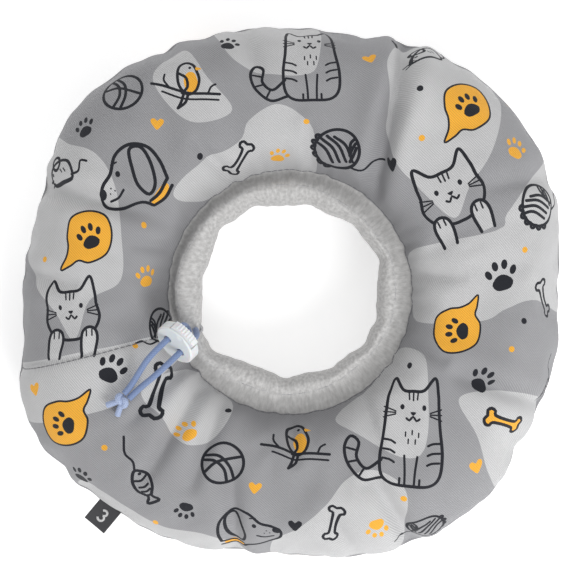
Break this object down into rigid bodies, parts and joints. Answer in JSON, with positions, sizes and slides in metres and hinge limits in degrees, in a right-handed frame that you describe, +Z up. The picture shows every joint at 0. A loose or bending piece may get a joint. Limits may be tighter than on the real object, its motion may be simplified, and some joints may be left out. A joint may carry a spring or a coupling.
{
  "type": "soft recovery collar",
  "caption": "Stuffed fabric ring collar for a small pet, with a jersey neck cuff, an elastic drawstring, a push-button cord lock and a folded size label.",
  "frame": {"origin": "on the ring's axis, at the plane that the ring lies on", "axes": "+Z up, along the axis of the neck opening, towards the side with the drawstring; the drawstring's loose end lies over the ring at 224.5 degrees from +X, and the size label is at 230 degrees"},
  "size_m": [0.2766, 0.2766, 0.0831],
  "materials": {
    "printed_fabric": "woven polyester with a fine diagonal rib, printed in light grey, mid grey, dark blue and orange",
    "filling": "loose polyester fibre",
    "jersey": "soft heather-grey knitted jersey, gathered",
    "seam_thread": "grey sewing thread",
    "cuff_thread": "pale grey sewing thread",
    "elastic_cord": "round braided elastic cord, muted blue",
    "knotted_cord": "stretched and frayed elastic cord, light blue",
    "lock_plastic": "smooth translucent white plastic",
    "spring_steel": "bright spring wire",
    "label_weave": "charcoal woven tape, folded once",
    "label_figure": "white woven figure",
    "label_thread": "dark sewing thread"
  },
  "bodies": {
    "ring": {"cover_top": "printed_fabric", "cover_bottom": "printed_fabric", "filling": "filling", "neck_cuff": "jersey", "outer_seam": "seam_thread", "neck_seam_top": "seam_thread", "neck_seam_bottom": "seam_thread", "radial_seam_top": "seam_thread", "radial_seam_bottom": "seam_thread", "tunnel_stitching": "cuff_thread", "buttonhole_stitching": "cuff_thread", "drawstring_loop": "elastic_cord", "label_stitching": "label_thread"},
    "cord_tail": {"strand_left": "elastic_cord", "strand_right": "elastic_cord", "end_knot": "knotted_cord"},
    "cord_lock": {"cord_lock_body": "lock_plastic", "cord_lock_spring": "spring_steel"},
    "lock_button": {"cord_lock_button": "lock_plastic"},
    "label": {"size_label": "label_weave", "label_numeral": "label_figure"}
  },
  "joints": [
    {"name": "tail_lift", "type": "hinge", "parent": "ring", "child": "cord_tail", "pos_m": [-0.04824, -0.01949, 0.0436], "axis": [-0.7009, 0.7133, 0], "range_deg": [0, 45]},
    {"name": "lock_slide", "type": "slide", "parent": "cord_tail", "child": "cord_lock", "axis": [-0.6177, -0.607, 0.5], "range_m": [-0.0015, 0.008]},
    {"name": "button_press", "type": "slide", "parent": "cord_lock", "child": "lock_button", "axis": [-0.3566, -0.3505, -0.866], "range_m": [0, 0.0023], "stiffness_N_per_m": 400, "springref_m": -0.002, "deforming": ["cord_lock_spring"]},
    {"name": "label_flip", "type": "hinge", "parent": "ring", "child": "label", "pos_m": [-0.0889, -0.10594, 0.031], "axis": [-0.766, 0.6428, 0], "range_deg": [-60, 60], "stiffness_Nm_per_rad": 0.002}
  ]
}
